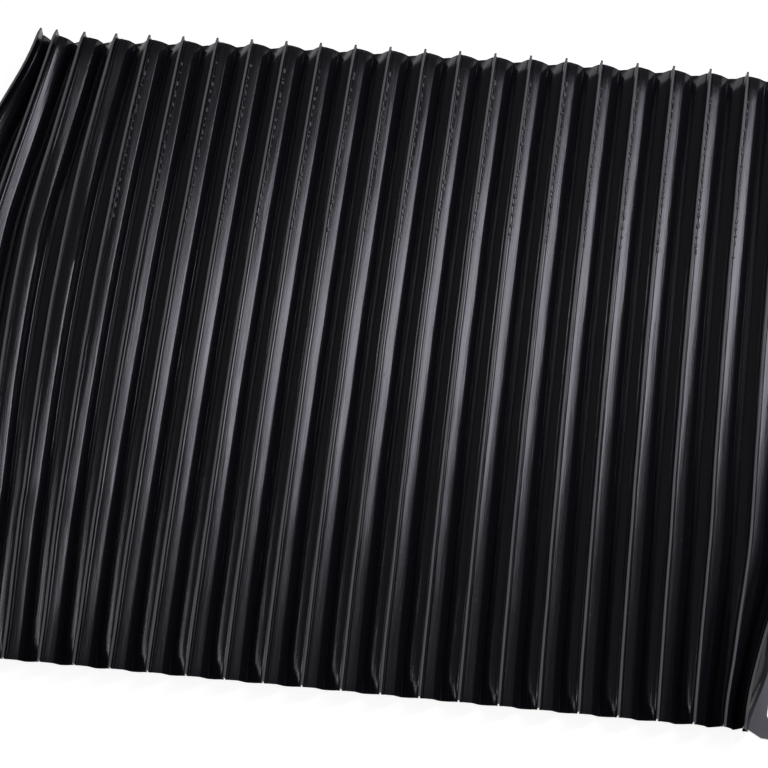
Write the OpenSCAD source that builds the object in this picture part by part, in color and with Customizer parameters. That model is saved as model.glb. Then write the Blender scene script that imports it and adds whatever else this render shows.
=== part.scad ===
// Flexible folded cover for a machine slideway, drawn out and lying on a flat surface.
// The coated cloth is one folded sheet. A thin stiffener is bonded under each slope, beside
// its crest, and a slotted steel plate closes each end.
// X runs along the travel, Y along the end plates and Z up. The origin is the middle of the
// slot line on the fixed end plate, on its underside.

/* [Folds] */
// Number of folds between the two end plates
folds = 24; // [10:1:28]
// Length of every fold, from one open side of the cover to the other
fold_len = 520; // [440:10:560]
// Distance from one crest to the next with the cover drawn out
pitch = 27.85; // [26:0.05:28.4]
// Width of the cloth from a crest to the next valley, measured straight
slope_len = 17.4; // [17:0.1:20]
// Distance from a crest down its slope to the knee
knee_at = 9; // [8:0.1:10]
// How far the knee stands out from the straight slope
knee_out = 2.4; // [1:0.1:2.8]
// Thickness of the coated cloth
cloth_th = 0.8; // [0.6:0.1:1]
// Width of the margin that is turned in on the fixed end plate
margin_w = 4; // [2.5:0.5:5]
// Distance that the margin reaches in over the sliding end plate
margin_reach = 15; // [14:0.5:18]

/* [Fins] */
// Height of the welded fin along a crest in the middle of the cover
fin_h = 5.5; // [4:0.5:8]
// Thickness of the fin
fin_th = 1.8; // [1.2:0.1:2.4]
// Lean of the fins towards the fixed end, in degrees
fin_lean = 7; // [0:1:12]
// Extra fin height at the fixed end
fin_rise_fixed = 3.2; // [0:0.2:5]
// Extra fin height at the far corner of the sliding end
fin_rise_sliding = 5.5; // [0:0.5:7]

/* [Stiffeners] */
// Width of a stiffener strip
strip_w = 5.6; // [4.5:0.1:5.8]
// Thickness of a stiffener strip
strip_th = 0.8; // [0.5:0.1:1]
// Distance from a crest to the near edge of its strips
strip_edge = 3.2; // [3.1:0.1:3.4]
// Distance from the end of a strip to the open side of the folds
strip_inset = 4; // [2:0.5:10]

/* [End plates] */
// Thickness of an end plate
plate_th = 1.5; // [1:0.1:3]
// Width of an end plate
plate_w = 46; // [40:1:60]
// Corner radius of an end plate
plate_r = 3; // [1:0.5:6]
// How far an end plate reaches past the folds at each open side
plate_over = 3.4; // [2:0.2:20]
// How far the fixed end plate reaches in under the last fold
plate_tuck = 20; // [12:1:24]
// Length of the cut along the end of a plate at its two corners under the folds
plate_cut = 21; // [8:1:22]
// Length of the same cut along the plate's edge
plate_cut_side = 10; // [4:1:12]
// Number of slots in an end plate
slots = 4; // [2:1:4]
// Width of a slot
slot_w = 8; // [5:0.5:10]
// Length of a slot from end to end
slot_len = 26; // [14:1:40]
// Distance from the end of a plate to the middle of its first slot
slot_margin = 26.4; // [24:0.2:60]
// Distance from the foot of the cover to the slot line on the fixed end plate
slot_out = 7; // [6:0.5:12]

/* [Lie of the cover] */
// Turn of the end plates against the folds, in degrees
end_turn = 4; // [2:0.5:4.5]
// Distance that the fixed end plate is pushed in from the evenly pitched end
fixed_in = 9.2; // [8:0.2:13]
// Distance that the sliding end plate is pushed in from the evenly pitched end
sliding_in = 19.2; // [17:0.2:21]
// Distance that the sliding end plate is set towards the near side
sliding_shift = 8; // [0:1:12]
// Distance that the two tight corners pull their crest in
corner_pull = 24.5; // [20:0.5:25]
// Sideways bow of the folds at the middle of their length
bow = 3.3; // [0:0.1:5]
// Bulge of the first folds away from the row
side_bulge = 8; // [0:0.5:8]
// Gather of the fourth fold at the near corner of the sliding end
corner_gather = 5.6; // [0:0.2:6]
// Spread of the last folds at the far corner of the fixed end
corner_spread = 7; // [3:0.5:8]
// Distance that the open side draws back at the far corner of the sliding end
corner_recess = 7; // [0:0.5:8]

/* [Fit] */
// Gap between the cloth and a plate that it is bonded on
seat_gap = 0.3; // [0.2:0.05:0.5]
// Gap between the cloth and a stiffener under it
strip_gap = 0.6; // [0.55:0.05:0.7]

/* [Hidden] */
// Share of a corner's pull that each next crest takes over
pull_share = 0.38;
// Share of the spread that each next crest takes over
spread_share = 0.45;
// Reach of each tight corner's pull, as a part of the fold length
far_reach = 0.24;
near_reach = 0.30;
// Reach of the gather and of the pulled foot, as a part of the fold length
gather_reach = 0.25;
foot_reach = 0.105;
// Fold where the gather is strongest and how many folds it spans
gather_fold = 3;
gather_span = 2;
// Distance across the folds over which the drawn-back corner runs out
recess_span = 90;
// Start of the bulge along the fold, and its shape over the fold numbers
bulge_start = 0.25;
bulge_offset = 0.6;
bulge_span = 3;
// Even shift of both ends that goes with the bow
bow_ends = 1;
// Distance that the foot of the cover is pulled in at the tight corner of the fixed end
foot_pull = 8.3;
// Distance that the foot at the sliding end lies outside the first crest
foot_lag = 3;
// Longest mitre of the cloth at a sharp fold, in half thicknesses
mitre_max = 2.5;
// Fall of the extra fin height from fold to fold
fin_fall_fixed = 0.75;
fin_fall_sliding = 0.8;
// Number of segments in a full circle
$fn = 48;
// Places along the fold at which the section is worked out, from the near side to the far
stations = [0, 0.04, 0.1, 0.18, 0.3, 0.55, 0.76, 0.87, 0.95, 1];

foot_z = plate_th + seat_gap + cloth_th / 2;
valley_z = plate_th + seat_gap + mitre_max * cloth_th / 2;
// The first valley crosses over the margin that is turned in at the sliding end
first_valley_z = valley_z + cloth_th + seat_gap;
fixed_foot = pitch * folds / 2 - fixed_in;
sliding_foot = sliding_in - pitch * folds / 2;
fixed_slot_x = fixed_foot + slot_out;
plate_len = fold_len + 2 * plate_over;
slot_step = (plate_len - 2 * slot_margin) / (slots - 1);
outer_rim = plate_w - plate_tuck - slot_out;
origin = [fixed_slot_x, fixed_foot * tan(end_turn)];

cloth_colour = [0.07, 0.07, 0.08];
strip_colour = [0.16, 0.16, 0.17];
plate_colour = [0.55, 0.56, 0.58];

function two_digits(i) = i < 10 ? str("0", i) : str(i);
function strip_name(i, side) = str("stiffener_", two_digits(i), "_", side < 0 ? "left" : "right");

// Falls smoothly from 1 at 0 to 0 at 1 and stays there
function fade(x) = x < 1 ? pow(cos(90 * x), 2) : 0;
function fold_y(t) = (t - 0.5) * fold_len;
function draw_back(x, y) =
    corner_recess * exp(-(x + pitch * folds / 2) / recess_span) * pow(max(0, 2 * y / fold_len), 2);
// Turns a point from the frame of the folds into the frame of the part
function place(x, y, z) = [
    x * cos(end_turn) - y * sin(end_turn) - origin.x,
    x * sin(end_turn) + y * cos(end_turn) - origin.y,
    z
];

// Crest lines, counted from the sliding end, over the place t along the fold
function first_bulge(a, t) =
    side_bulge * (a + bulge_offset) * exp(-pow((a + bulge_offset) / bulge_span, 2))
    * max(0, sin(180 * (t - bulge_start) / (1 - bulge_start)));
function crest_x(i, t) = let (a = i - 1, b = folds - i)
    pitch * (i - (folds + 1) / 2)
    + bow_ends - 4 * bow * t * (1 - t)
    + corner_pull * pow(pull_share, a) * fade((1 - t) / far_reach)
    - corner_pull * pow(pull_share, b) * fade(t / near_reach)
    - first_bulge(a, t)
    + corner_gather * exp(-pow((a - gather_fold) / gather_span, 2)) * fade(t / gather_reach)
    + corner_spread * t * pow(spread_share, b)
    - corner_spread / 2 * (1 - t) * pow(spread_share, a);

// Place across the folds of a line that runs along the end plates
function along_plate(x, t) = (x + fold_y(t) * sin(end_turn)) / cos(end_turn);
// Low line to the right of fold i, with the two feet at 0 and at the last fold
function low_x(i, t) =
    i == 0 ? crest_x(1, t) - foot_lag
    : i == folds ? along_plate(fixed_foot - foot_pull * fade(t / foot_reach), t)
    : (crest_x(i, t) + crest_x(i + 1, t)) / 2;
function low_z(i) = i == 0 || i == folds ? foot_z : i == 1 ? first_valley_z : valley_z;
function low(i, t) = [low_x(i, t), low_z(i)];
function crest_rise(i, t) = sqrt(pow(slope_len, 2) - pow((low_x(i, t) - low_x(i - 1, t)) / 2, 2));
function crest(i, t) = [crest_x(i, t), valley_z + crest_rise(i, t)];
// The knee stands out less where the fold is nearly closed
function knee(i, side, t) = let (
    c = crest(i, t),
    v = side < 0 ? low(i - 1, t) : low(i, t),
    u = (v - c) / norm(v - c),
    out = side > 0 ? [-u.y, u.x] : [u.y, -u.x]
) c + knee_at * u + knee_out * abs(v.x - c.x) / (pitch / 2) * out;
function fin_height(i, t) =
    fin_h + fin_rise_fixed * pow(fin_fall_fixed, folds - i)
    + fin_rise_sliding * pow(fin_fall_sliding, i - 1) * t;

// Middle line of the cloth in one section, from the sliding end to the fixed end
function cloth_line(t) = concat(
    [[along_plate(sliding_foot + margin_reach, t), foot_z], low(0, t)],
    [for (i = [1:folds]) each [knee(i, -1, t), crest(i, t), knee(i, 1, t), low(i, t)]],
    [low(folds, t) - [margin_w, 0]]
);
function unit(v) = v / norm(v);
function left_of(v) = [-v.y, v.x];
function mitre(line, k) = let (
    last = len(line) - 1,
    a = left_of(unit(line[max(k, 1)] - line[max(k, 1) - 1])),
    b = left_of(unit(line[min(k, last - 1) + 1] - line[min(k, last - 1)])),
    m = unit(a + b)
) m * min(mitre_max, 1 / (m * a));
// Four points of the fin over the crest that is point k of the line
function fin_points(line, k, height) = let (
    c = line[k],
    left = unit(line[k - 1] - c),
    right = unit(line[k + 1] - c),
    up = [sin(fin_lean), cos(fin_lean)],
    across = [cos(fin_lean), -sin(fin_lean)] * fin_th / 2
) [
    c + left * fin_th / 2 - left_of(left) * cloth_th / 2,
    c + up * height - across,
    c + up * height + across,
    c + right * fin_th / 2 + left_of(right) * cloth_th / 2
];
function is_crest(k) = k > 1 && k % 4 == 3;
function cloth_ring(t) = let (line = cloth_line(t), last = len(line) - 1) concat(
    [for (k = [0:last])
        each is_crest(k)
            ? fin_points(line, k, fin_height((k + 1) / 4, t))
            : [line[k] + mitre(line, k) * cloth_th / 2]],
    [for (k = [last:-1:0]) line[k] - mitre(line, k) * cloth_th / 2]
);
// Triangles of a row of four places in a ring
function halves(f) = [[f[0], f[1], f[2]], [f[0], f[2], f[3]]];
// Triangles of the cover's end, two for each stretch of cloth, as places in the ring
function cloth_caps() = let (
    last = 4 * folds + 2,
    n = 2 * last + 2 + 3 * folds,
    outer = function (k) k + 3 * floor(k / 4),
    inner = function (k) n - 1 - k
) concat(
    [for (k = [0:last - 1])
        each halves([outer(k) + (is_crest(k) ? 3 : 0), outer(k + 1), inner(k + 1), inner(k)])],
    [for (k = [0:last]) if (is_crest(k)) each concat(
        halves([outer(k), outer(k) + 1, outer(k) + 2, outer(k) + 3]),
        [[outer(k), outer(k) + 3, inner(k)]]
    )]
);
function strip_ring(i, side, t) = let (
    c = crest(i, t),
    u = unit(knee(i, side, t) - c),
    under = side > 0 ? -left_of(u) : left_of(u),
    top = cloth_th / 2 + strip_gap,
    edges = side > 0 ? [strip_edge, strip_edge + strip_w] : [strip_edge + strip_w, strip_edge]
) [
    c + u * edges[0] + under * top,
    c + u * edges[1] + under * top,
    c + u * edges[1] + under * (top + strip_th),
    c + u * edges[0] + under * (top + strip_th)
];

// Solid between rings of equal length. caps are the faces of an end, as places in the ring.
// From the place turned_from on, the side faces are split the other way, so that the two
// walls of a ring that runs out and back stay parallel
module lofted(rings, ys, caps, turned_from) {
    n = len(rings[0]);
    last = len(rings) - 1;
    points = [for (r = [0:last]) for (p = rings[r]) place(p.x, ys[r] - draw_back(p.x, ys[r]), p.y)];
    sides = [for (r = [0:last - 1]) for (k = [0:n - 1]) let (
        a = r * n + k,
        b = r * n + (k + 1) % n,
        c = b + n,
        d = a + n
    ) each k < turned_from ? [[a, d, c], [a, c, b]] : [[a, d, b], [d, c, b]]];
    far = [for (cap = caps) [for (k = [len(cap) - 1:-1:0]) last * n + cap[k]]];
    polyhedron(points = points, faces = concat(caps, far, sides), convexity = 20);
}

module pleated_cover() {
    color(cloth_colour)
        lofted(
            [for (t = stations) cloth_ring(t)],
            [for (t = stations) fold_y(t)],
            cloth_caps(),
            turned_from = 7 * folds + 3
        );
}

// A strip keeps to the cover's own stations, and its ends are set in from the open sides
module stiffener(i, side) {
    last = len(stations) - 1;
    rings = [for (t = stations) strip_ring(i, side, t)];
    ys = [for (t = stations) fold_y(t)];
    near = strip_inset / (ys[1] - ys[0]);
    far = strip_inset / (ys[last] - ys[last - 1]);
    inner_rings = [for (k = [1:last - 1]) rings[k]];
    inner_ys = [for (k = [1:last - 1]) ys[k]];
    color(strip_colour)
        lofted(
            concat([rings[0] * (1 - near) + rings[1] * near], inner_rings,
                [rings[last] * (1 - far) + rings[last - 1] * far]),
            concat([ys[0] + strip_inset], inner_ys, [ys[last] - strip_inset]),
            halves([0, 1, 2, 3]),
            turned_from = 2
        );
}

module rounded_bar(w, l, r) {
    square([w - 2 * r, l], center = true);
    square([w, l - 2 * r], center = true);
    for (x = [-1, 1], y = [-1, 1])
        translate([x * (w / 2 - r), y * (l / 2 - r)]) circle(r = r);
}

module slot_shape() {
    square([slot_w, slot_len - slot_w], center = true);
    for (y = [-1, 1]) translate([0, y * (slot_len - slot_w) / 2]) circle(d = slot_w);
}

// Cut over a plate's corner, which lies at the origin with the plate towards +x and -y
module corner_cut() {
    polygon([
        [-1, 1],
        [plate_cut * (1 + 1 / plate_cut_side), 1],
        [-1, -plate_cut_side * (1 + 1 / plate_cut)]
    ]);
}

// Flat plate whose slot line lies on the Y axis; rim_side says where its short rim is
module end_plate(rim_side) {
    color(plate_colour)
        linear_extrude(plate_th)
            difference() {
                translate([rim_side * (outer_rim - plate_w / 2), 0])
                    rounded_bar(plate_w, plate_len, plate_r);
                for (s = [-1, 1])
                    translate([rim_side * (outer_rim - plate_w), s * plate_len / 2])
                        scale([rim_side, s]) corner_cut();
                for (k = [0:slots - 1])
                    translate([0, slot_margin - plate_len / 2 + k * slot_step]) slot_shape();
            }
}

module fixed_end_plate() {
    end_plate(1);
}

// The plate at the sliding end is turned in under the first folds
module sliding_end_plate() {
    translate([
        sliding_foot + outer_rim - origin.x,
        sliding_foot * tan(end_turn) - origin.y - sliding_shift,
        0
    ]) end_plate(-1);
}

pleated_cover();
fixed_end_plate();
sliding_end_plate();
for (i = [1:folds - 1])
    stiffener(i, 1);
for (i = [2:folds])
    stiffener(i, -1);
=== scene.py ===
"""Looks of a flexible folded slideway cover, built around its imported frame."""
import logging
import math
from dataclasses import dataclass, field, fields
from enum import Enum
from typing import Callable, Iterable, Sequence, Union

import bpy
from mathutils import Matrix, Vector


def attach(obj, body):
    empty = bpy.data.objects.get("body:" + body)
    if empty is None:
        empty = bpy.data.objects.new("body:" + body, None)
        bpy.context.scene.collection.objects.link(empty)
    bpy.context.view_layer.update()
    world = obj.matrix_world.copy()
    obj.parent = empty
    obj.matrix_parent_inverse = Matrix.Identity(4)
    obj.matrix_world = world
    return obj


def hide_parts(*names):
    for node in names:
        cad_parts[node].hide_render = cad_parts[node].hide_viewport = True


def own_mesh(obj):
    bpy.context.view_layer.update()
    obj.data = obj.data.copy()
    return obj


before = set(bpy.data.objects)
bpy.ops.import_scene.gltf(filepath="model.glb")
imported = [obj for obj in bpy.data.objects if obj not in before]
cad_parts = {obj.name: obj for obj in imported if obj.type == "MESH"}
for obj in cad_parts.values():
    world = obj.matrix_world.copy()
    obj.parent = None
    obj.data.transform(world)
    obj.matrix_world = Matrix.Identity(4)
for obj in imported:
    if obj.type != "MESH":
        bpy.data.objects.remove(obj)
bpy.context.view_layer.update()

MM = 0.001
LOG = logging.getLogger("cover")
FIXED_BODY = "fixed_end"


class Side(Enum):
    """Side of a crest: towards the sliding end or towards the fixed end."""

    SLIDING = -1
    FIXED = 1


Term = Union[int, float, "Wire"]
Settings = dict[str, object]
Inputs = dict[object, object]


class Wire:
    """Output of a node with arithmetic, so that a formula can be written as one."""

    def __init__(self, book: "Book", socket: bpy.types.NodeSocket) -> None:
        """Keep the socket and the book of nodes that it belongs to."""
        self.book = book
        self.socket = socket

    def _math(self, operation: str, *terms: Term) -> "Wire":
        """Add one Math node.

        Args:
            operation: Name of the Math node's operation.
            terms: Its inputs in order.

        Returns:
            The node's result.
        """
        node = self.book.node("ShaderNodeMath", {"operation": operation}, dict(enumerate(terms)))
        return Wire(self.book, node.outputs[0])

    def __add__(self, other: Term) -> "Wire":
        """Sum."""
        return self._math("ADD", self, other)

    __radd__ = __add__

    def __sub__(self, other: Term) -> "Wire":
        """Difference."""
        return self._math("SUBTRACT", self, other)

    def __rsub__(self, other: Term) -> "Wire":
        """Difference from a number."""
        return self._math("SUBTRACT", other, self)

    def __mul__(self, other: Term) -> "Wire":
        """Product."""
        return self._math("MULTIPLY", self, other)

    __rmul__ = __mul__

    def __truediv__(self, other: Term) -> "Wire":
        """Quotient."""
        return self._math("DIVIDE", self, other)

    def __rtruediv__(self, other: Term) -> "Wire":
        """Quotient of a number by this."""
        return self._math("DIVIDE", other, self)

    def __pow__(self, other: Term) -> "Wire":
        """Power."""
        return self._math("POWER", self, other)

    def __rpow__(self, other: Term) -> "Wire":
        """Power of a number."""
        return self._math("POWER", other, self)

    def __neg__(self) -> "Wire":
        """Negative."""
        return self * -1.0

    def __lt__(self, other: Term) -> "Wire":
        """One where this is smaller, and zero elsewhere."""
        return self._math("LESS_THAN", self, other)

    def __gt__(self, other: Term) -> "Wire":
        """One where this is larger, and zero elsewhere."""
        return self._math("GREATER_THAN", self, other)

    def __abs__(self) -> "Wire":
        """Size without its sign."""
        return self._math("ABSOLUTE", self)

    def sine(self) -> "Wire":
        """Sine of this angle in radians."""
        return self._math("SINE", self)

    def cosine(self) -> "Wire":
        """Cosine of this angle in radians."""
        return self._math("COSINE", self)

    def root(self) -> "Wire":
        """Square root."""
        return self._math("SQRT", self)

    def exponent(self) -> "Wire":
        """Power of e."""
        return self._math("EXPONENT", self)

    def at_least(self, other: Term) -> "Wire":
        """The larger of the two."""
        return self._math("MAXIMUM", self, other)

    def at_most(self, other: Term) -> "Wire":
        """The smaller of the two."""
        return self._math("MINIMUM", self, other)

    def ramp(self, low: Term, high: Term) -> "Wire":
        """Smooth step from 0 at low to 1 at high.

        Args:
            low: Value at which the step starts.
            high: Value at which it ends.

        Returns:
            The step.
        """
        node = self.book.node(
            "ShaderNodeMapRange",
            {"interpolation_type": "SMOOTHSTEP", "clamp": True},
            {"Value": self, "From Min": low, "From Max": high, "To Min": 0.0, "To Max": 1.0},
        )
        return Wire(self.book, node.outputs[0])


class Book:
    """Node tree that is written line by line."""

    def __init__(self, tree: bpy.types.NodeTree) -> None:
        """Keep the tree, emptied."""
        self.tree = tree
        tree.nodes.clear()

    def node(self, kind: str, settings: Settings, inputs: Inputs) -> bpy.types.Node:
        """Add any node.

        Args:
            kind: Type of the node.
            settings: Its own properties, set before its inputs.
            inputs: Values or wires by the name or the number of the socket.

        Returns:
            The node.
        """
        made = self.tree.nodes.new(kind)
        for name, value in settings.items():
            setattr(made, name, value)
        for key, value in inputs.items():
            self.feed(made.inputs[key], value)
        return made

    def feed(self, socket: bpy.types.NodeSocket, value: object) -> None:
        """Link a wire or an output to a socket, or set the socket to a plain value."""
        if isinstance(value, Wire):
            self.tree.links.new(value.socket, socket)
        elif isinstance(value, bpy.types.NodeSocket):
            self.tree.links.new(value, socket)
        else:
            socket.default_value = value

    def wire(self, kind: str, settings: Settings, inputs: Inputs, out: object = 0) -> Wire:
        """Add a node and take one of its outputs.

        Args:
            kind: Type of the node.
            settings: Its own properties.
            inputs: Values or wires for its sockets.
            out: Name or number of the output.

        Returns:
            The output.
        """
        return Wire(self, self.node(kind, settings, inputs).outputs[out])

    def mix(self, share: object, first: bpy.types.Node, second: bpy.types.Node) -> bpy.types.Node:
        """Mix two shaders, with the second one's share."""
        inputs = {0: share, 1: first.outputs[0], 2: second.outputs[0]}
        return self.node("ShaderNodeMixShader", {}, inputs)


@dataclass(frozen=True)
class CoverSizes:
    """Sizes of the folded cover, in mm and degrees.

    They are those of its solids, apart from knee_at and fin_th. Only the scene has those from
    waver on. Of them fin_round, end_slack and far_firm are shares.
    """

    folds: float = 24
    fold_len: float = 520
    pitch: float = 27.85
    slope_len: float = 17.4
    knee_at: float = 9.8
    knee_out: float = 2.4
    cloth_th: float = 0.8
    margin_w: float = 4
    margin_reach: float = 15
    fin_h: float = 5.5
    fin_th: float = 2.0
    fin_lean: float = 7
    fin_rise_fixed: float = 3.2
    fin_rise_sliding: float = 5.5
    plate_th: float = 1.5
    slot_out: float = 7
    end_turn: float = 4
    fixed_in: float = 9.2
    sliding_in: float = 19.2
    corner_pull: float = 24.5
    bow: float = 3.3
    side_bulge: float = 8
    corner_gather: float = 5.6
    corner_spread: float = 7
    corner_recess: float = 7
    seat_gap: float = 0.3
    waver: float = 0.5
    waver_span: float = 70
    droop: float = 2.4
    fin_round: float = 0.15
    end_slack: float = 1.3
    far_bow: float = 3.4
    near_reach: float = 1.8
    valley_recess: float = 2.1
    near_tuck: float = 2.2
    far_bulge: float = 4.0
    far_firm: float = 0.6

    @property
    def fixed_foot(self) -> float:
        """Distance from the middle of the folds to the foot at the fixed end."""
        return self.pitch * self.folds / 2 - self.fixed_in

    @property
    def origin(self) -> tuple[float, float]:
        """Place of the part's origin along and across the end plates."""
        across = self.fixed_foot * math.tan(math.radians(self.end_turn))
        return self.fixed_foot + self.slot_out, across


# What is left of a change from one fold to the next
PULL_SHARE = 0.38
SPREAD_SHARE = 0.45
FIN_FALL_FIXED = 0.75
FIN_FALL_SLIDING = 0.8

# Reach of a change along the folds, as a share of the fold length
FAR_REACH = 0.24
NEAR_REACH = 0.30
GATHER_REACH = 0.25
FOOT_REACH = 0.105
EDGE_REACH = 0.1
SLACK_REACH = 0.036
DROOP_REACH = 0.03
FIN_ROUND_REACH = 0.014
FAR_BULGE_REACH = 0.36
FIRM_START = 0.2
FIRM_REACH = 0.24
BULGE_START = 0.25

# Middle of a change and its reach across the folds, counted in folds. The gather and the bulge
# count from 0 at the sliding end, the tuck from 0 at the fixed end, and the others from 1.
GATHER_FOLD = 3
GATHER_SPAN = 2
TUCK_FOLD = 1
TUCK_SPAN = 1.1
EDGE_FOLD = 11
EDGE_SPAN = 9.5
FAR_BULGE_FOLD = 2.3
FAR_BULGE_SPAN = 1.2
FIRM_FOLD = 3.2
FIRM_SPAN = 0.9
BULGE_OFFSET = 0.6
BULGE_SPAN = 3

# Lengths in mm
RECESS_SPAN = 90
BOW_ENDS = 1
FOOT_PULL = 8.3
FOOT_LAG = 3

# Longest mitre of the cloth's wall at a fold, as a share of its thickness
MITRE_MAX = 2.5

# Lowest value of the bow of the far cut edge, as a share of its middle
EDGE_FALL = -0.4

# Points up one slope: shares of the low line and of the knee, and a rise in mm
SLOPE_PROFILE = (
    (1, 0, 0.35), (0.9, 0.1, 0), (0.5, 0.5, 0), (0.1, 0.9, 0),
    (0.02, 0.965, 0), (0, 0.92, 0), (0, 0.5, 0),
)

# Weld groove at the foot of the fin: share of the knee and depth in mm
GROOVE_PROFILE = ((0.315, 0), (0.25, 0.45), (0.14, 0.5))

# One side of the fin: shares of its height and of its thickness
FIN_PROFILE = ((0.04, 1.6), (0.18, 1.0), (0.80, 1.0), (0.93, 1.35), (0.985, 1.0))

# Rows close to a cut edge, and where the even rows start, as shares of the fold length
NEAR_STATIONS = (0.0, 0.0018, 0.0042, 0.0075, 0.0120, 0.0180)
EVEN_START = 0.026

# Developed lengths in mm that only spread the pattern of the coating
FLAT_LOWER = 9.3
FLAT_RIM = 0.5
FLAT_LEAST = 0.2


def fade(x: Wire) -> Wire:
    """Fall smoothly from 1 at 0 to 0 at 1."""
    return (x.at_most(1.0) * (math.pi / 2)).cosine() ** 2


def bell(x: Wire, middle: float, span: float) -> Wire:
    """Rise smoothly to 1 at the middle and die away over the span on both sides."""
    return (-(((x - middle) / span) ** 2)).exponent()


class FoldRule:
    """Formulas that say where each point of a marked blank lies once it is folded."""

    def __init__(self, sizes: dict[str, Wire], fold: Wire, side: Wire, t: Wire) -> None:
        """Work out the crest, the low line and the knee that a point belongs to.

        Args:
            sizes: Named inputs of the tree.
            fold: Number of the fold, from 1.
            side: -1 or 1, the side of the crest.
            t: Place along the fold, 0 at the near side and 1 at the far side.
        """
        self.s = sizes
        self.t = t
        turn = sizes["end_turn"] * (math.pi / 180)
        self.sin_turn = turn.sine()
        self.cos_turn = turn.cosine()
        self.y = (t - 0.5) * sizes["fold_len"]
        self.half_row = sizes["pitch"] * sizes["folds"] / 2
        foot_z = sizes["plate_th"] + sizes["seat_gap"] + sizes["cloth_th"] / 2
        valley_z = sizes["plate_th"] + sizes["seat_gap"] + sizes["cloth_th"] * (MITRE_MAX / 2)
        first_valley_z = valley_z + sizes["cloth_th"] + sizes["seat_gap"]
        here, before, after = (self.crest_x(fold + step) for step in (0, -1, 1))
        first = fold < 1.5
        last = fold > (sizes["folds"] - 0.5)
        foot_pull = FOOT_PULL * fade(t / FOOT_REACH)
        fixed_foot = self.along_plate(self.half_row - sizes["fixed_in"] - foot_pull)
        left = first * (here - FOOT_LAG) + (1 - first) * (here + before) / 2
        right = last * fixed_foot + (1 - last) * (here + after) / 2
        rising = side > 0
        low_z = (fold < 2.5) * first_valley_z + (fold > 2.5) * valley_z
        left_z = first * foot_z + (1 - first) * low_z
        right_z = last * foot_z + (1 - last) * (first * first_valley_z + (1 - first) * valley_z)
        self.crest = here, valley_z + (sizes["slope_len"] ** 2 - ((right - left) / 2) ** 2).root()
        self.low = rising * right + (1 - rising) * left, rising * right_z + (1 - rising) * left_z
        dx = self.low[0] - self.crest[0]
        dz = self.low[1] - self.crest[1]
        slope = (dx ** 2 + dz ** 2).root()
        slack = sizes["end_slack"] * fade(t.at_most(1 - t) / SLACK_REACH) * (1 - rising)
        far_end = fade(((1 - FIRM_START - t) / FIRM_REACH).at_least(0.0))
        firm = sizes["far_firm"] * rising * far_end * bell(fold, FIRM_FOLD, FIRM_SPAN)
        out = sizes["knee_out"] * (1 - slack + firm) * abs(dx) / (sizes["pitch"] / 2) / slope
        along = sizes["knee_at"] / slope
        self.knee = (
            self.crest[0] + along * dx - side * out * dz,
            self.crest[1] + along * dz + side * out * dx,
        )
        sliding_end = self.along_plate(
            sizes["sliding_in"] - self.half_row + sizes["margin_reach"]
        )
        self.margin_end = (
            rising * (fixed_foot - sizes["margin_w"]) + (1 - rising) * sliding_end, foot_z,
        )
        self.side = side
        self.fin_height = (
            sizes["fin_h"] - sizes["cloth_th"] / 2
            + sizes["fin_rise_fixed"] * FIN_FALL_FIXED ** (sizes["folds"] - fold)
            + sizes["fin_rise_sliding"] * FIN_FALL_SLIDING ** (fold - 1) * t
        )

    def along_plate(self, x: Wire) -> Wire:
        """Place across the folds of a line that runs along the end plates."""
        return (x + self.y * self.sin_turn) / self.cos_turn

    def edges(self, x: Wire, marks: dict[str, Wire]) -> Wire:
        """Shift along the fold that gives the cloth's two cut edges their slight curves.

        Args:
            x: Place across the folds.
            marks: The point's own marks, as Mark names them.

        Returns:
            The shift in mm.
        """
        s, t = self.s, self.t
        number = x / s["pitch"] + (s["folds"] + 1) / 2
        bow = (1 - ((number - EDGE_FOLD) / EDGE_SPAN) ** 2).at_least(EDGE_FALL)
        far = s["far_bow"] * bow * (2 * t - 1).at_least(0.0) ** 2
        near = s["near_reach"] * (number / s["folds"]) ** 3 * (1 - 2 * t).at_least(0.0) ** 2
        low = marks["toe"] + marks["knee"] * s["knee_at"] / s["slope_len"]
        return far - near + s["valley_recess"] * low * fade(t / EDGE_REACH)

    def crest_x(self, fold: Wire) -> Wire:
        """Place of a crest across the folds.

        Args:
            fold: Number of the fold.

        Returns:
            The place in mm at the point's own place along the fold.
        """
        s, t = self.s, self.t
        a = fold - 1
        b = s["folds"] - fold
        reach = (a + BULGE_OFFSET) / BULGE_SPAN
        wave = ((t - BULGE_START) * (math.pi / (1 - BULGE_START))).sine().at_least(0.0)
        far_end = fade((1 - t) / FAR_BULGE_REACH)
        swell = 4 * far_end * (1 - far_end) * bell(fold, FAR_BULGE_FOLD, FAR_BULGE_SPAN)
        return (
            s["pitch"] * (fold - (s["folds"] + 1) / 2)
            + BOW_ENDS - s["bow"] * 4 * t * (1 - t)
            + s["corner_pull"] * PULL_SHARE ** a * fade((1 - t) / FAR_REACH)
            - s["corner_pull"] * PULL_SHARE ** b * fade(t / NEAR_REACH)
            - s["side_bulge"] * BULGE_SPAN * reach * (-(reach * reach)).exponent() * wave
            + s["corner_gather"] * bell(a, GATHER_FOLD, GATHER_SPAN) * fade(t / GATHER_REACH)
            + s["corner_spread"] * t * SPREAD_SHARE ** b
            - s["corner_spread"] / 2 * (1 - t) * PULL_SHARE ** a
            + s["far_bulge"] * swell
            - s["near_tuck"] * bell(b, TUCK_FOLD, TUCK_SPAN) * fade(t / EDGE_REACH)
        )

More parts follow.
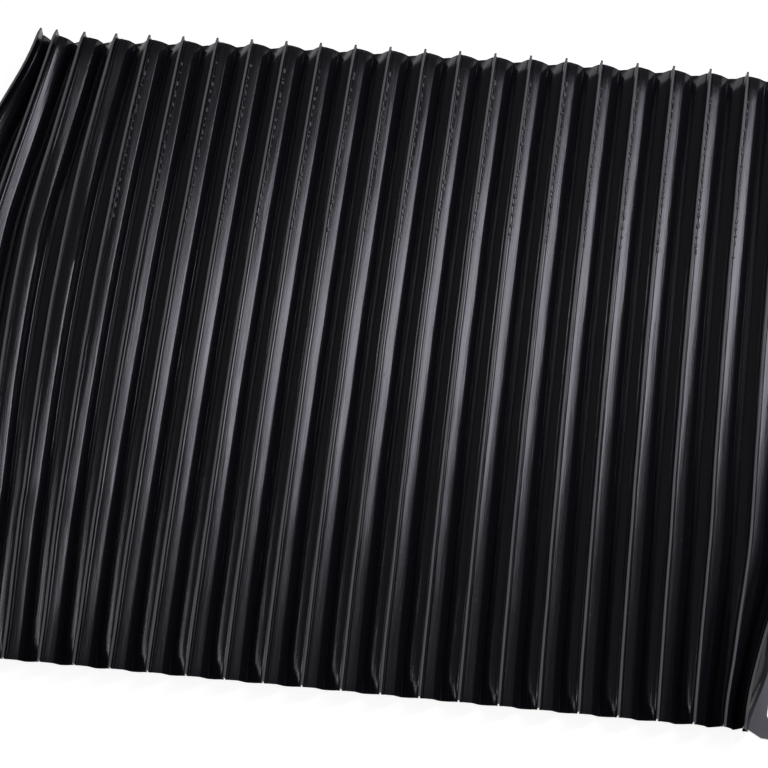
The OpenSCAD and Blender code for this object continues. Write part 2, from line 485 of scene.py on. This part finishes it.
    def point(self, marks: dict[str, Wire]) -> tuple[Wire, Wire]:
        """Section place of a marked point.

        Args:
            marks: The point's own marks, as Mark names them.

        Returns:
            Its place across the folds and its height.
        """
        s = self.s
        ux = self.knee[0] - self.crest[0]
        uz = self.knee[1] - self.crest[1]
        length = (ux ** 2 + uz ** 2).root()
        ux, uz = ux / length, uz / length
        lean = s["fin_lean"] * (math.pi / 180)
        end = self.t.at_most(1 - self.t)
        rounding = 1 - s["fin_round"] * fade(end / FIN_ROUND_REACH)
        rise = marks["fin_up"] * self.fin_height * rounding
        spread = marks["fin_out"] * (s["fin_th"] - s["cloth_th"]) / 2
        rest = 1 - marks["toe"] - marks["knee"]
        x = (
            rest * self.crest[0] + marks["knee"] * self.knee[0] + marks["toe"] * self.low[0]
            + marks["edge"] * ux + marks["depth"] * self.side * uz
            + rise * lean.sine() + spread * lean.cosine()
        )
        z = (
            rest * self.crest[1] + marks["knee"] * self.knee[1] + marks["toe"] * self.low[1]
            + marks["edge"] * uz - marks["depth"] * self.side * ux
            + rise * lean.cosine() - spread * lean.sine() + marks["lift"]
        )
        far_end = (1 - (1 - self.t) / DROOP_REACH).at_least(0.0) ** 2
        z = z - far_end * s["droop"] * (1 - marks["toe"])
        turned_in = marks["margin"]
        x = x + turned_in * (self.margin_end[0] - x)
        z = z + turned_in * (self.margin_end[1] - z)
        return x, z


KEPT_MARKS = ("fold", "side", "toe", "knee", "fin_up")


@dataclass(frozen=True)
class Mark:
    """Where a point of the flat blank lies in the section of its fold.

    toe and knee are shares of the low line and the knee, and the rest goes to the crest. edge
    is a distance down the slope and depth a distance under it. fin_up and fin_out are shares of
    the fin, lift is a plain rise and margin a share of the way to the end of the margin.
    """

    fold: float
    side: float
    toe: float = 0.0
    knee: float = 0.0
    edge: float = 0.0
    depth: float = 0.0
    fin_up: float = 0.0
    fin_out: float = 0.0
    lift: float = 0.0
    margin: float = 0.0


class Blank:
    """Flat, marked mesh that the folding tree folds."""

    def __init__(self, name: str, length: float) -> None:
        """Start an empty blank of this name, for folds of this length in mm."""
        self.name = name
        self.length = length
        self.places: list[tuple[float, float, float]] = []
        self.marks: list[tuple[Mark, float]] = []
        self.faces: list[tuple[int, ...]] = []
        self.edges: list[tuple[int, int]] = []

    def row(self, marks: Sequence[Mark], across: Sequence[float], t: float) -> int:
        """Add one row of points.

        Args:
            marks: Mark of every point.
            across: Flat place of every point, in mm.
            t: Place along the fold.

        Returns:
            Number of the row's first point.
        """
        start = len(self.places)
        self.places += [(x * MM, t * self.length * MM, 0.0) for x in across]
        self.marks += [(mark, t) for mark in marks]
        return start

    def sheet(self, marks: Sequence[Mark], across: Sequence[float], rows: Sequence[float]) -> None:
        """Add an open sheet, whose faces point up.

        Args:
            marks: Marks across it.
            across: Flat place of every mark, in mm.
            rows: Places of its rows along the fold.
        """
        starts = [self.row(marks, across, t) for t in rows]
        for a, b in zip(starts, starts[1:]):
            self.faces += [(a + k, a + k + 1, b + k + 1, b + k) for k in range(len(marks) - 1)]

    def bar(self, ring: Sequence[Mark], across: Sequence[float], rows: Sequence[float]) -> None:
        """Add a closed bar whose ring runs clockwise, seen from the near side.

        Args:
            ring: Marks round its section.
            across: Flat place of every mark, in mm.
            rows: Places of its rows along the fold.
        """
        n = len(ring)
        starts = [self.row(ring, across, t) for t in rows]
        for a, b in zip(starts, starts[1:]):
            self.faces += [(a + k, a + (k + 1) % n, b + (k + 1) % n, b + k) for k in range(n)]
        self.faces.append(tuple(starts[0] + k for k in reversed(range(n))))
        self.faces.append(tuple(starts[-1] + k for k in range(n)))

    def line(self, mark: Mark, rows: Sequence[float]) -> None:
        """Add a bare line of points along a fold."""
        starts = [self.row([mark], [0.0], t) for t in rows]
        self.edges += list(zip(starts, starts[1:]))

    def build(self) -> bpy.types.Object:
        """Make the blank's object.

        Returns:
            The object, with its marks as attributes and its flat places as UVs.
        """
        mesh = bpy.data.meshes.new(self.name)
        mesh.from_pydata(self.places, self.edges, self.faces)
        for item in fields(Mark):
            values = mesh.attributes.new(item.name, "FLOAT", "POINT")
            values.data.foreach_set("value", [getattr(mark, item.name) for mark, _ in self.marks])
        values = mesh.attributes.new("t", "FLOAT", "POINT")
        values.data.foreach_set("value", [t for _, t in self.marks])
        if self.faces:
            uvs = mesh.uv_layers.new(name="flat")
            flat = [c for loop in mesh.loops for c in self.places[loop.vertex_index][:2]]
            uvs.data.foreach_set("uv", flat)
        obj = bpy.data.objects.new(self.name, mesh)
        bpy.context.scene.collection.objects.link(obj)
        return obj


@dataclass
class FoldingTree:
    """Geometry Nodes tree that folds a blank by the rule, with a finish of its own at the end."""

    sizes: CoverSizes
    material: bpy.types.Material
    after: Callable[[Book, bpy.types.NodeSocket], bpy.types.NodeSocket] | None = None

    def build(self, name: str) -> bpy.types.NodeTree:
        """Write the tree.

        Args:
            name: Name of the tree.

        Returns:
            The tree, with one named input for every size.
        """
        tree = bpy.data.node_groups.new(name, "GeometryNodeTree")
        book = Book(tree)
        tree.interface.new_socket("Geometry", in_out="INPUT", socket_type="NodeSocketGeometry")
        tree.interface.new_socket("Geometry", in_out="OUTPUT", socket_type="NodeSocketGeometry")
        for item in fields(CoverSizes):
            tree.interface.new_socket(item.name, in_out="INPUT", socket_type="NodeSocketFloat")
        start = book.node("NodeGroupInput", {}, {})
        sizes = {item.name: Wire(book, start.outputs[item.name]) for item in fields(CoverSizes)}
        names = [item.name for item in fields(Mark)] + ["t"]
        marks = {
            key: book.wire("GeometryNodeInputNamedAttribute", {"data_type": "FLOAT"}, {"Name": key})
            for key in names
        }
        rule = FoldRule(sizes, marks["fold"], marks["side"], marks["t"])
        x, z = rule.point(marks)
        wander = book.wire(
            "ShaderNodeTexNoise",
            {"noise_dimensions": "3D"},
            {
                "Vector": book.wire(
                    "ShaderNodeCombineXYZ", {},
                    {"X": x / sizes["waver_span"], "Y": rule.y / sizes["waver_span"], "Z": 0.0},
                ),
                "Scale": 1.0,
                "Detail": 1.0,
            },
            "Color",
        )
        parts = book.node("ShaderNodeSeparateXYZ", {}, {0: wander})
        held = 1 - marks["toe"] - marks["margin"]
        x = x + (Wire(book, parts.outputs[0]) - 0.5) * 2 * sizes["waver"] * held
        z = z + (Wire(book, parts.outputs[1]) - 0.5) * sizes["waver"] * held
        far_half = (2 * marks["t"] - 1).at_least(0.0)
        recess = (-(x + rule.half_row) / RECESS_SPAN).exponent() * far_half ** 2
        y = rule.y - sizes["corner_recess"] * recess + rule.edges(x, marks)
        origin_x = rule.half_row - sizes["fixed_in"] + sizes["slot_out"]
        origin_y = (rule.half_row - sizes["fixed_in"]) * rule.sin_turn / rule.cos_turn
        spot = book.wire(
            "ShaderNodeCombineXYZ", {},
            {
                "X": (x * rule.cos_turn - y * rule.sin_turn - origin_x) * MM,
                "Y": (x * rule.sin_turn + y * rule.cos_turn - origin_y) * MM,
                "Z": z * MM,
            },
        )
        folded = book.node(
            "GeometryNodeSetPosition", {}, {"Geometry": start.outputs[0], "Position": spot}
        )
        result = folded.outputs[0]
        if self.after:
            result = self.after(book, result)
        real = book.node("GeometryNodeRealizeInstances", {}, {0: result})
        dressed = book.node(
            "GeometryNodeSetMaterial", {}, {"Geometry": real.outputs[0], "Material": self.material}
        )
        book.node("NodeGroupOutput", {}, {0: dressed.outputs[0]})
        return tree

    def fold(self, blank: Blank, thickness: float = 0.0) -> bpy.types.Object:
        """Fold a blank into a plain mesh.

        Args:
            blank: The marked blank.
            thickness: Thickness that the folded sheet gets, in mm, or 0 for none.

        Returns:
            The finished object at the origin.
        """
        obj = blank.build()
        tree = self.build(f"fold_{blank.name}")
        folding = obj.modifiers.new("folding", "NODES")
        folding.node_group = tree
        for item in tree.interface.items_tree:
            if item.in_out == "INPUT" and item.name != "Geometry":
                folding[item.identifier] = float(getattr(self.sizes, item.name))
        if thickness:
            wall = obj.modifiers.new("wall", "SOLIDIFY")
            wall.thickness = thickness * MM
            wall.offset = 0.0
            wall.use_even_offset = True
            wall.thickness_clamp = 2.0
        evaluated = obj.evaluated_get(bpy.context.evaluated_depsgraph_get())
        mesh = bpy.data.meshes.new_from_object(evaluated)
        obj.modifiers.clear()
        obj.data = mesh
        for item in list(mesh.attributes):
            if item.name in [f.name for f in fields(Mark) if f.name not in KEPT_MARKS]:
                mesh.attributes.remove(item)
        return obj


def smooth(obj: bpy.types.Object, angle_deg: float) -> None:
    """Shade an object smooth, apart from edges sharper than the angle.

    Args:
        obj: The object.
        angle_deg: The angle.
    """
    mesh = obj.data
    mesh.polygons.foreach_set("use_smooth", [True] * len(mesh.polygons))
    mesh.set_sharp_from_angle(angle=math.radians(angle_deg))


@dataclass(frozen=True)
class ClothFinish:
    """Satin black coating with fine streaks along the folds, and painted highlights on the fin tops
    and along the knees.

    A size is the grain of a pattern across and along the folds in mm. Its shares say how much
    of it goes into the roughness, the tint and the height.
    """

    colour: tuple[float, float, float] = (0.0145, 0.0136, 0.0190)
    roughness: float = 0.175
    streak_size: tuple[float, float] = (0.9, 60.0)
    streak_shares: tuple[float, float, float] = (0.16, 0.004, 0.7)
    broad_size: tuple[float, float] = (7.0, 130.0)
    broad_shares: tuple[float, float, float] = (0.14, 0.06, 0.8)
    dust_size: tuple[float, float] = (2.2, 3.5)
    dust_range: tuple[float, float] = (0.66, 0.80)
    dust_shares: tuple[float, float] = (0.10, 0.006)
    band_size: tuple[float, float] = (2.6, 45.0)
    band_height: float = 1.6
    grain_size: tuple[float, float] = (0.35, 0.35)
    grain_height: float = 0.2
    # The top of the fin: more roughness, and a lighter colour that is a painted highlight where the
    # fin tops catch the light.
    rim_range: tuple[float, float] = (0.88, 0.95)
    rim_rough: float = 0.3
    rim_highlight_tint: float = 0.22
    # Painted highlight: a thin lighter line along the knee of each slope.
    knee_range: tuple[float, float] = (0.93, 0.99)
    knee_highlight_tint: float = 0.03
    height: float = 0.00006

    def build(self) -> bpy.types.Material:
        """Write the coating's material.

        Returns:
            The material.
        """
        material = bpy.data.materials.new("black_coated_cloth")
        material.use_nodes = True
        book = Book(material.node_tree)
        flat = book.node("ShaderNodeUVMap", {"uv_map": "flat"}, {})
        parts = book.node("ShaderNodeSeparateXYZ", {}, {0: flat.outputs[0]})
        place = Wire(book, parts.outputs[0]) / MM, Wire(book, parts.outputs[1]) / MM
        streak = self.noise(book, place, self.streak_size, 3.0)
        broad = self.noise(book, place, self.broad_size, 2.0)
        grain = self.noise(book, place, self.grain_size, 1.0)
        dust = self.noise(book, place, self.dust_size, 2.0).ramp(*self.dust_range)
        band = self.noise(book, place, self.band_size, 2.0)
        # Mask of the fin top: more roughness and a painted highlight.
        rim = self.mark(book, "fin_up").ramp(*self.rim_range)
        # Mask of the painted highlight line along the knee of each slope.
        knee = self.mark(book, "knee").ramp(*self.knee_range)
        streak_rough, streak_tint, streak_height = self.streak_shares
        broad_rough, rim_highlight_mottle, broad_height = self.broad_shares
        dust_rough, dust_tint = self.dust_shares
        rough = self.roughness + (streak - 0.5) * streak_rough + (broad - 0.5) * broad_rough
        rough = rough + dust * dust_rough + rim * self.rim_rough
        tint = (streak - 0.5) * streak_tint + dust * dust_tint
        # Painted highlights: a lighter colour on the fin tops, mottled by the broad pattern, and a
        # thin lighter line along the knees.
        tint = tint + rim * (self.rim_highlight_tint + (broad - 0.5) * rim_highlight_mottle) + knee * self.knee_highlight_tint
        red, green, blue = (tint + level for level in self.colour)
        colour = book.wire(
            "ShaderNodeCombineColor", {}, {"Red": red, "Green": green, "Blue": blue}
        )
        relief = streak * streak_height + broad * broad_height
        relief = relief + band * self.band_height + grain * self.grain_height
        bump = book.node(
            "ShaderNodeBump", {}, {"Strength": 1.0, "Distance": self.height, "Height": relief}
        )
        shader = book.node(
            "ShaderNodeBsdfPrincipled", {},
            {
                "Base Color": colour, "Roughness": rough, "Normal": bump.outputs[0],
                "Specular IOR Level": 0.5,
            },
        )
        book.node("ShaderNodeOutputMaterial", {}, {0: shader.outputs[0]})
        return material

    @staticmethod
    def mark(book: Book, name: str) -> Wire:
        """Mark of the folded blank by its name."""
        return book.wire("ShaderNodeAttribute", {"attribute_name": name}, {}, "Fac")

    @staticmethod
    def noise(
        book: Book, place: tuple[Wire, Wire], size: tuple[float, float], detail: float
    ) -> Wire:
        """Smooth noise over the flat cloth.

        Args:
            book: Book of the material.
            place: Place across and along the folds, in mm.
            size: Size of its grain in the same directions.
            detail: Number of finer layers.

        Returns:
            The noise, about 0.5 in the middle.
        """
        x, y = (where / grain for where, grain in zip(place, size))
        spot = book.wire("ShaderNodeCombineXYZ", {}, {"X": x, "Y": y, "Z": 0.0})
        return book.wire(
            "ShaderNodeTexNoise", {"noise_dimensions": "2D"},
            {"Vector": spot, "Scale": 1.0, "Detail": detail},
        )


@dataclass(frozen=True)
class SolidFinish:
    """Plain finish of a strip or a bead, with a little mottle on Object coordinates."""

    name: str
    colour: tuple[float, float, float]
    roughness: float
    mottle: float = 0.1
    metallic: float = 0.0
    mottle_scale: tuple[float, float, float] = (160.0, 160.0, 160.0)
    height: float = 0.00005

    def build(self) -> bpy.types.Material:
        """Write the material.

        Returns:
            The material.
        """
        material = bpy.data.materials.new(self.name)
        material.use_nodes = True
        book = Book(material.node_tree)
        where = book.node("ShaderNodeTexCoord", {}, {})
        scaled = book.node(
            "ShaderNodeMapping", {}, {"Vector": where.outputs["Object"], "Scale": self.mottle_scale}
        )
        noise = book.wire(
            "ShaderNodeTexNoise", {}, {"Vector": scaled.outputs[0], "Scale": 1.0, "Detail": 4.0}
        )
        colour = book.node(
            "ShaderNodeMix", {"data_type": "RGBA"},
            {
                "Factor": noise,
                6: (*(c * (1 - self.mottle * 2) for c in self.colour), 1.0),
                7: (*(min(1.0, c * (1 + self.mottle * 2)) for c in self.colour), 1.0),
            },
        )
        bump = book.node(
            "ShaderNodeBump", {}, {"Strength": 0.5, "Distance": self.height, "Height": noise}
        )
        shader = book.node(
            "ShaderNodeBsdfPrincipled", {},
            {
                "Base Color": colour.outputs[2],
                "Roughness": self.roughness + (noise - 0.5) * 2 * self.mottle,
                "Metallic": self.metallic,
                "Normal": bump.outputs[0],
            },
        )
        book.node("ShaderNodeOutputMaterial", {}, {0: shader.outputs[0]})
        return material


@dataclass
class FoldedCover:
    """The folded cloth, its stiffeners and the weld beads along its crests.

    Lengths are in mm. keep, the share of its width that all of it would keep once the joint has
    closed, is not used. bead_reach is where the beads start and end along the fold, bead_place
    how far down the slope they lie and how deep, and bead_least and bead_most the shares of
    bead_size that their random sizes lie between. Beads are shifted at random between bead_back
    and bead_forth, in metres.
    """

    sizes: CoverSizes = field(default_factory=CoverSizes)
    rows: int = 52
    strip_w: float = 5.6
    strip_th: float = 0.8
    strip_edge: float = 3.2
    strip_gap: float = 0.6
    strip_inset: float = 4
    bead_first_fold: int = 5
    bead_reach: tuple[float, float] = (0.68, 0.96)
    bead_place: tuple[float, float] = (2.8, -0.26)
    bead_step: float = 7.5
    bead_size: tuple[float, float, float] = (1.0, 1.7, 0.34)
    bead_least: tuple[float, float, float] = (0.6, 0.4, 0.7)
    bead_most: tuple[float, float, float] = (1.25, 1.6, 1.3)
    bead_back: tuple[float, float, float] = (-0.0002, -0.0028, 0.0)
    bead_forth: tuple[float, float, float] = (0.0004, 0.0028, 0.00005)
    bead_tilt_deg: float = 20
    keep: float = 0.253

    @property
    def stations(self) -> list[float]:
        """Places of the rows along the fold, closer together at both ends."""
        step = (1 - 2 * EVEN_START) / (self.rows - 1)
        even = [EVEN_START + k * step for k in range(self.rows)]
        return [*NEAR_STATIONS, *even, *(1 - t for t in reversed(NEAR_STATIONS))]

    def slope(self, fold: int, side: Side) -> list[Mark]:
        """Marks from the low line up to the top of the fin on one side of a crest.

        Args:
            fold: Number of the fold.
            side: Side of the crest.

        Returns:
            The marks in that order, without the middle of the fin.
        """
        way = side.value
        marks = [
            Mark(fold, way, toe=toe, knee=knee, lift=lift) for toe, knee, lift in SLOPE_PROFILE
        ]
        marks += [Mark(fold, way, knee=knee, depth=depth) for knee, depth in GROOVE_PROFILE]
        return marks + [Mark(fold, way, fin_up=up, fin_out=way * out) for up, out in FIN_PROFILE]

    def cloth_marks(self) -> list[Mark]:
        """Marks of the whole sheet.

        Returns:
            The marks from the margin at the sliding end to the margin at the fixed end.
        """
        folds = int(self.sizes.folds)
        sliding, fixed = Side.SLIDING.value, Side.FIXED.value
        marks = [Mark(1, sliding, toe=1, margin=share) for share in (1.0, 0.7, 0.4, 0.1)]
        for fold in range(1, folds + 1):
            right = list(reversed(self.slope(fold, Side.FIXED)))
            marks += self.slope(fold, Side.SLIDING) + [Mark(fold, fixed, fin_up=1.0)]
            marks += right if fold == folds else right[:-1]
        return marks + [Mark(folds, fixed, toe=1, margin=share) for share in (0.3, 1.0)]

    def flat_places(self, marks: Sequence[Mark]) -> list[float]:
        """Developed place of every mark across the flat sheet.

        Args:
            marks: Marks of the sheet.

        Returns:
            The places in mm, near enough for the pattern of the coating.
        """
        places = [0.0]
        for a, b in zip(marks, marks[1:]):
            fin = abs(b.fin_up - a.fin_up) * self.sizes.fin_h
            moved = abs(b.toe - a.toe) * FLAT_LOWER + fin
            if a.toe == b.toe:
                moved += abs(b.knee - a.knee) * self.sizes.knee_at
            rim = abs(b.fin_out - a.fin_out) * FLAT_RIM
            moved += abs(b.margin - a.margin) * self.sizes.margin_reach + rim
            places.append(places[-1] + max(moved, FLAT_LEAST))
        return places

    def cloth(self, material: bpy.types.Material) -> bpy.types.Object:
        """Fold the cloth sheet.

        Args:
            material: Its finish.

        Returns:
            The finished piece.
        """
        marks = self.cloth_marks()
        blank = Blank("folded_cloth", self.sizes.fold_len)
        blank.sheet(marks, self.flat_places(marks), self.stations)
        piece = FoldingTree(self.sizes, material).fold(blank, self.sizes.cloth_th)
        smooth(piece, 22)
        self.finish(piece, ["pleated_cover"])
        return piece

    def strips(self, material: bpy.types.Material) -> bpy.types.Object:
        """Lay every stiffener strip under its slope.

        Args:
            material: Their finish.

        Returns:
            All strips as one piece.
        """
        folds = int(self.sizes.folds)
        inset = self.strip_inset / self.sizes.fold_len
        rows = [inset + t * (1 - 2 * inset) for t in self.stations]
        top = self.sizes.cloth_th / 2 + self.strip_gap
        blank = Blank("stiffener_strips", self.sizes.fold_len)
        names = []
        for side, numbers in ((Side.FIXED, range(1, folds)), (Side.SLIDING, range(2, folds + 1))):
            near, far = self.strip_edge, self.strip_edge + self.strip_w
            edges = (near, far) if side is Side.FIXED else (far, near)
            ring = [(edges[0], top), (edges[1], top)]
            ring += [(edges[1], top + self.strip_th), (edges[0], top + self.strip_th)]
            for fold in numbers:
                marks = [Mark(fold, side.value, edge=edge, depth=depth) for edge, depth in ring]
                blank.bar(marks, (0, self.strip_w, self.strip_w, 0), rows)
                names.append(f"stiffener_{fold:02d}_{'right' if side is Side.FIXED else 'left'}")
        piece = FoldingTree(self.sizes, material).fold(blank)
        smooth(piece, 30)
        self.finish(piece, names)
        LOG.info("stiffeners: %d strips", len(names))
        return piece

    def beads(self, material: bpy.types.Material) -> bpy.types.Object:
        """Set weld beads along the foot of every fin, on the side of the fixed end.

        Args:
            material: Their finish.

        Returns:
            All beads as one piece.
        """
        blank = Blank("weld_beads", self.sizes.fold_len)
        start, end = self.bead_reach
        edge, depth = self.bead_place
        places = [t for t in self.stations if start < t < end]
        for fold in range(self.bead_first_fold, int(self.sizes.folds) + 1):
            mark = Mark(fold, Side.FIXED.value, edge=edge, depth=depth)
            blank.line(mark, places)
        piece = FoldingTree(self.sizes, material, self.scatter_beads).fold(blank)
        smooth(piece, 60)
        self.finish(piece, [])
        LOG.info("beads: %d faces", len(piece.data.polygons))
        return piece

    def scatter_beads(self, book: Book, lines: bpy.types.NodeSocket) -> bpy.types.NodeSocket:
        """Put a bead of random length and place on every step of the lines.

        Args:
            book: Book of the folding tree.
            lines: The folded lines.

        Returns:
            The beads as instances.
        """
        curve = book.node("GeometryNodeMeshToCurve", {}, {0: lines})
        even = book.node(
            "GeometryNodeCurveToPoints", {"mode": "LENGTH"},
            {"Curve": curve.outputs[0], "Length": self.bead_step * MM},
        )
        bead = book.node(
            "GeometryNodeMeshUVSphere", {}, {"Segments": 8, "Rings": 6, "Radius": 1.0}
        )
        size = book.node(
            "FunctionNodeRandomValue", {"data_type": "FLOAT_VECTOR"},
            {
                0: [a * b * MM for a, b in zip(self.bead_size, self.bead_least)],
                1: [a * b * MM for a, b in zip(self.bead_size, self.bead_most)],
                "Seed": 11,
            },
        )
        shift = book.node(
            "FunctionNodeRandomValue", {"data_type": "FLOAT_VECTOR"},
            {0: self.bead_back, 1: self.bead_forth, "Seed": 12},
        )
        moved = book.node(
            "GeometryNodeSetPosition", {}, {"Geometry": even.outputs[0], "Offset": shift.outputs[0]}
        )
        placed = book.node(
            "GeometryNodeInstanceOnPoints", {},
            {
                "Points": moved.outputs[0], "Instance": bead.outputs[0],
                "Rotation": (
                    0.0, math.radians(self.bead_tilt_deg), math.radians(self.sizes.end_turn),
                ),
                "Scale": size.outputs[0],
            },
        )
        return placed.outputs[0]

    def finish(self, piece: bpy.types.Object, nodes: Iterable[str]) -> None:
        """Put a piece on its body, in place of its nodes.

        Args:
            piece: The piece.
            nodes: Names of the nodes that it stands for.
        """
        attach(piece, FIXED_BODY)
        names = list(nodes)
        if names:
            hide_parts(*names)
        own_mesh(piece)


@dataclass(frozen=True)
class EndPlates:
    """The two slotted steel plates, which keep their solids."""

    names: tuple[str, ...] = ("fixed_end_plate", "sliding_end_plate")

    def dress(self, material: bpy.types.Material) -> None:
        """Give both plates their finish."""
        for name in self.names:
            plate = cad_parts[name]
            plate.data.materials.clear()
            plate.data.materials.append(material)
            LOG.info("plate: %s", name)


@dataclass(frozen=True)
class Lamp:
    """Area lamp that is placed and turned in the folds' frame.

    spot is its middle in metres, and size its width across the folds and its length along them.
    radiance is the brightness of its face. tip_deg tips it about the axis across the folds, and
    turn_deg turns it about the upright axis.
    """

    name: str
    spot: tuple[float, float, float]
    size: tuple[float, float]
    radiance: float
    tip_deg: float = 0
    turn_deg: float = 0


LAMP_COLOUR = (1.0, 0.97, 1.1)
LAMPS = (
    Lamp("softbox", (1.24, 0.87, 1.3), (1.15, 0.37), 6.3, turn_deg=34),
    Lamp("softbox_near_part", (0.47, 0.64, 1.3), (0.4, 0.22), 4.2),
    Lamp("fill", (-3.3, 0.35, 1.3), (1.4, 0.9), 3.6),
    Lamp("backdrop", (-0.3, 2.8, 0.45), (3.4, 0.8), 0.8, -90),
)
WHITE = (1.0, 1.0, 1.0, 1.0)


@dataclass(frozen=True)
class Studio:
    """Floor, lamps, background and the camera at the photo's angle.

    aim is in mm in the folds' frame. The camera fields after it are the fit to the photo.
    floor_shade is the floor to other rays and floor_seen the floor to the camera. floor_glow
    and floor_gleam are what it gives off to the camera and to reflections. room is the strength
    of the background to everything but the camera.
    """

    sizes: CoverSizes = CoverSizes()
    aim: tuple[float, float, float] = (17.9, -26.85, 18.7)
    heading_deg: float = 18.71
    elevation_deg: float = 66.0
    roll_deg: float = -12.856
    distance: float = 1728.8
    focal_px: float = 2339.1
    frame_px: float = 768
    sensor: float = 36
    floor_half: float = 6.0
    floor_shade: tuple[float, float, float, float] = (0.42, 0.42, 0.43, 1.0)
    floor_seen: tuple[float, float, float, float] = (0.55, 0.55, 0.56, 1.0)
    floor_glow: float = 0.9
    floor_gleam: float = 0.8
    room: float = 0.11

    def point(self, x: float, y: float, z: float) -> Vector:
        """Turn a point of the folds' frame into the part's frame.

        Args:
            x: Place across the folds, in mm.
            y: Place along the folds, in mm.
            z: Height, in mm.

        Returns:
            The point in metres.
        """
        c = math.cos(math.radians(self.sizes.end_turn))
        s = math.sin(math.radians(self.sizes.end_turn))
        origin_x, origin_y = self.sizes.origin
        return Vector((x * c - y * s - origin_x, x * s + y * c - origin_y, z)) * MM

    def camera(self) -> bpy.types.Object:
        """Make the camera and set it as the scene's own.

        Returns:
            The camera.
        """
        heading = math.radians(self.heading_deg + self.sizes.end_turn)
        tilt = math.radians(self.elevation_deg)
        roll = math.radians(self.roll_deg)
        flat = Vector((-math.sin(heading), math.cos(heading), 0))
        forward = flat * math.cos(tilt) + Vector((0, 0, -math.sin(tilt)))
        level = Vector((math.cos(heading), math.sin(heading), 0))
        above = level.cross(forward)
        right = level * math.cos(roll) + above * math.sin(roll)
        up = above * math.cos(roll) - level * math.sin(roll)
        data = bpy.data.cameras.new("camera")
        data.sensor_width = self.sensor
        data.lens = self.focal_px / self.frame_px * self.sensor
        data.clip_end = 20
        camera = bpy.data.objects.new("camera", data)
        spot = self.point(*self.aim) - forward * self.distance * MM
        matrix = Matrix((right, up, -forward)).transposed().to_4x4()
        matrix.translation = spot
        camera.matrix_world = matrix
        bpy.context.scene.collection.objects.link(camera)
        bpy.context.scene.camera = camera
        return camera

    def hang(self, lamp: Lamp) -> None:
        """Hang one lamp in the scene.

        Args:
            lamp: The lamp.
        """
        data = bpy.data.lights.new(lamp.name, "AREA")
        data.shape = "RECTANGLE"
        data.size, data.size_y = lamp.size
        data.energy = lamp.radiance * math.pi * lamp.size[0] * lamp.size[1]
        data.color = LAMP_COLOUR
        light = bpy.data.objects.new(lamp.name, data)
        light.location = self.point(*(c / MM for c in lamp.spot))
        turn = math.radians(self.sizes.end_turn + lamp.turn_deg)
        light.rotation_euler = (math.radians(lamp.tip_deg), 0, turn)
        light.visible_camera = False
        bpy.context.scene.collection.objects.link(light)

    def floor(self) -> None:
        """Lay the pale floor, white with a soft shadow to the camera and clear from below."""
        half = self.floor_half
        mesh = bpy.data.meshes.new("floor")
        corners = [(-half, -half, 0), (half, -half, 0), (half, half, 0), (-half, half, 0)]
        mesh.from_pydata(corners, [], [(0, 1, 2, 3)])
        material = bpy.data.materials.new("pale_floor")
        material.use_nodes = True
        book = Book(material.node_tree)
        rays = book.node("ShaderNodeLightPath", {}, {})
        dull = book.node("ShaderNodeBsdfDiffuse", {}, {"Color": self.floor_shade})
        lit = book.node("ShaderNodeBsdfDiffuse", {}, {"Color": self.floor_seen})
        glow, gleam = (
            book.node("ShaderNodeEmission", {}, {"Color": WHITE, "Strength": strength})
            for strength in (self.floor_glow, self.floor_gleam)
        )
        seen = book.node("ShaderNodeAddShader", {}, {0: lit.outputs[0], 1: glow.outputs[0]})
        other = book.mix(rays.outputs["Is Glossy Ray"], dull, gleam)
        both = book.mix(rays.outputs["Is Camera Ray"], other, seen)
        facing = book.node("ShaderNodeNewGeometry", {}, {})
        clear = book.node("ShaderNodeBsdfTransparent", {}, {})
        shown = book.mix(facing.outputs["Backfacing"], both, clear)
        book.node("ShaderNodeOutputMaterial", {}, {0: shown.outputs[0]})
        mesh.materials.append(material)
        floor = bpy.data.objects.new("floor", mesh)
        bpy.context.scene.collection.objects.link(floor)

    def world(self) -> None:
        """Fill the background: white to the camera, a dim grey room to everything else."""
        world = bpy.data.worlds.new("studio")
        bpy.context.scene.world = world
        world.use_nodes = True
        book = Book(world.node_tree)
        rays = book.node("ShaderNodeLightPath", {}, {})
        seen = Wire(book, rays.outputs["Is Camera Ray"])
        strength = seen * (1 - self.room) + self.room
        sky = book.node("ShaderNodeBackground", {}, {"Color": WHITE, "Strength": strength})
        book.node("ShaderNodeOutputWorld", {}, {0: sky.outputs[0]})

    def build(self) -> None:
        """Make all of it."""
        self.camera()
        self.floor()
        self.world()
        for lamp in LAMPS:
            self.hang(lamp)
        bpy.context.scene.view_settings.view_transform = "Standard"


def main() -> None:
    """Build every piece in order."""
    logging.basicConfig(level=logging.INFO, format="%(name)s: %(message)s")
    Studio().build()
    cover = FoldedCover()
    black = ClothFinish().build()
    cover.cloth(black)
    cover.strips(SolidFinish("grey_stiffener", (0.035, 0.035, 0.038), 0.5).build())
    # The beads' pale grey is a painted highlight: much lighter than the black coating, so that they
    # show as bright glinting dots.
    cover.beads(SolidFinish("weld_bead_painted_glint", (0.16, 0.158, 0.175), 0.32).build())
    steel = SolidFinish(
        "zinc_plated_steel", (0.27, 0.27, 0.287), 0.42, 0.08, 0.9, (90.0, 30.0, 90.0)
    )
    EndPlates().dress(steel.build())


if __name__ == "__main__":
    main()
